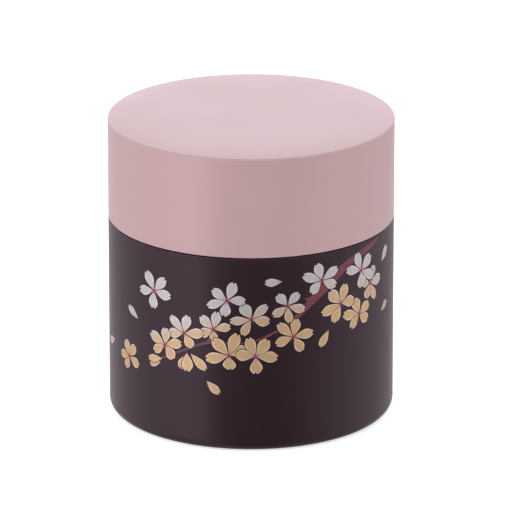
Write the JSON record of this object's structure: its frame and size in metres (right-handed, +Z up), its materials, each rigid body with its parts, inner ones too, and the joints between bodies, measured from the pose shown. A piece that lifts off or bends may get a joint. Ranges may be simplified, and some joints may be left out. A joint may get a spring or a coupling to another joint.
{
  "type": "tea caddy",
  "caption": "Round two-tone tea caddy with a tall flush outer lid, a press-in liner with a raised neck, and a dished inner lid with a knob and a seal.",
  "frame": {"origin": "centre of the ring that the caddy stands on, at the lowest point", "axes": "+Z up along the caddy's axis of revolution; the printed blossom faces -Y"},
  "size_m": [0.08, 0.08, 0.0855],
  "materials": {
    "dark_lacquer": "satin dark plum lacquer with printed blossom",
    "black_moulding": "fine satin moulding",
    "pink_lacquer": "satin dusty pink lacquer",
    "black_lid_moulding": "satin moulding",
    "clear_silicone": "cloudy silicone"
  },
  "bodies": {
    "canister": {"body_shell": "dark_lacquer", "inner_liner": "black_moulding"},
    "stopper": {"inner_lid": "black_lid_moulding", "inner_lid_knob": "black_lid_moulding", "inner_lid_seal": "clear_silicone"},
    "cap": {"outer_lid": "pink_lacquer"}
  },
  "joints": [
    {"name": "inner_lid_lift", "type": "slide", "parent": "canister", "child": "stopper", "axis": [0, 0, 1], "range_m": [0, 0.05]},
    {"name": "outer_lid_lift", "type": "slide", "parent": "stopper", "child": "cap", "axis": [0, 0, 1], "range_m": [0, 0.06]}
  ]
}
